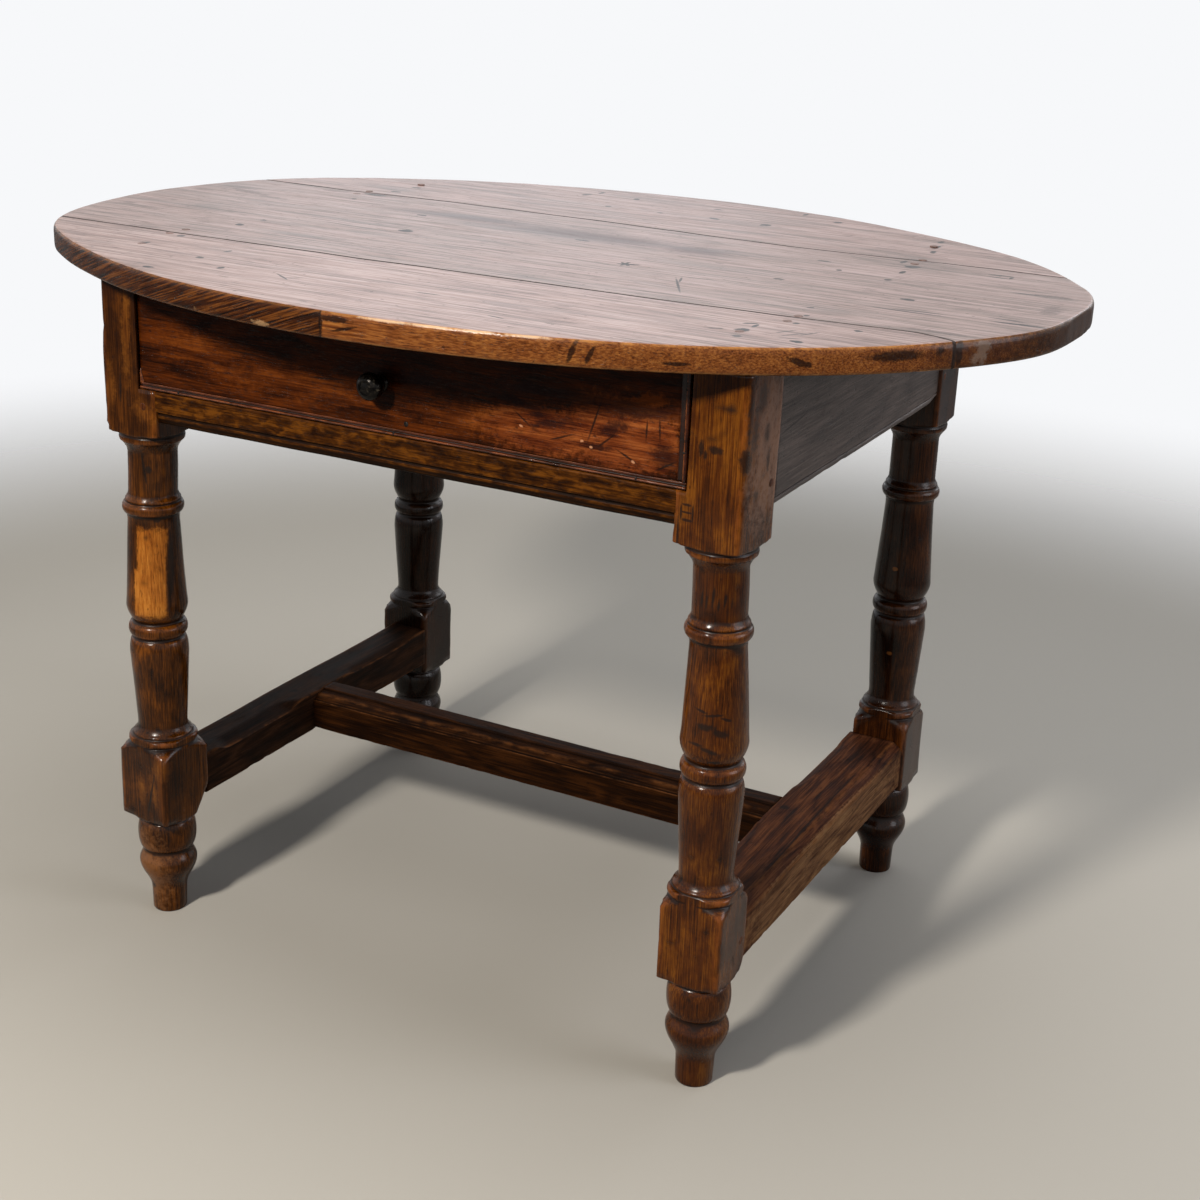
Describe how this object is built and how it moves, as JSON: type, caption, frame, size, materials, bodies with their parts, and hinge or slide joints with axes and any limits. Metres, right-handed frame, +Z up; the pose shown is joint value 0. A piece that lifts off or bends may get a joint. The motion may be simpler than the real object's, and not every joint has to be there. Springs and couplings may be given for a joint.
{
  "type": "tavern table",
  "caption": "Oval-topped wooden tavern table on turned legs joined by an H stretcher, with a lipped drawer that slides out at the front.",
  "frame": {"origin": "on the floor under the middle of the top", "axes": "+X along the drawer front and the top's long axis, to the right seen from the front; +Y to the back; +Z up"},
  "size_m": [1.09, 0.796, 0.74],
  "materials": {
    "top_wood": "worn, waxed satin walnut-brown boards, greyed on top",
    "leg_wood": "old turned hardwood, dark brown, polished satin",
    "rail_wood": "old hardwood, brown, dull wax",
    "stretcher_wood": "old hardwood, dark brown, foot-worn",
    "drawer_wood": "old hardwood, red-brown, polished",
    "inner_wood": "unpolished old softwood",
    "peg_wood": "oak pegs, end grain, waxed with the table",
    "nail_iron": "hand-made nails, rubbed bright on the heads",
    "knob_metal": "dark patinated, glossy where it is handled"
  },
  "bodies": {
    "table": {"top_board_front": "top_wood", "top_board_middle": "top_wood", "top_board_back": "top_wood", "leg_front_left": "leg_wood", "leg_front_right": "leg_wood", "leg_back_left": "leg_wood", "leg_back_right": "leg_wood", "front_rail": "rail_wood", "side_rail_left": "rail_wood", "side_rail_right": "rail_wood", "back_rail": "rail_wood", "side_stretcher_left": "stretcher_wood", "side_stretcher_right": "stretcher_wood", "cross_stretcher": "stretcher_wood", "drawer_runner_left": "inner_wood", "drawer_runner_right": "inner_wood", "drawer_guide_left": "inner_wood", "drawer_guide_right": "inner_wood", "top_pegs": "peg_wood", "rail_pegs": "peg_wood", "stretcher_pegs": "peg_wood", "guide_nails": "nail_iron"},
    "drawer": {"drawer_front": "drawer_wood", "drawer_side_left": "inner_wood", "drawer_side_right": "inner_wood", "drawer_back": "inner_wood", "drawer_bottom": "inner_wood", "drawer_bead_bottom": "drawer_wood", "drawer_bead_right": "drawer_wood", "drawer_bead_left_stub": "drawer_wood", "drawer_knob": "knob_metal", "drawer_nails": "nail_iron"}
  },
  "joints": [
    {"name": "drawer_slide", "type": "slide", "parent": "table", "child": "drawer", "axis": [0, -1, 0], "range_m": [0, 0.34]}
  ]
}
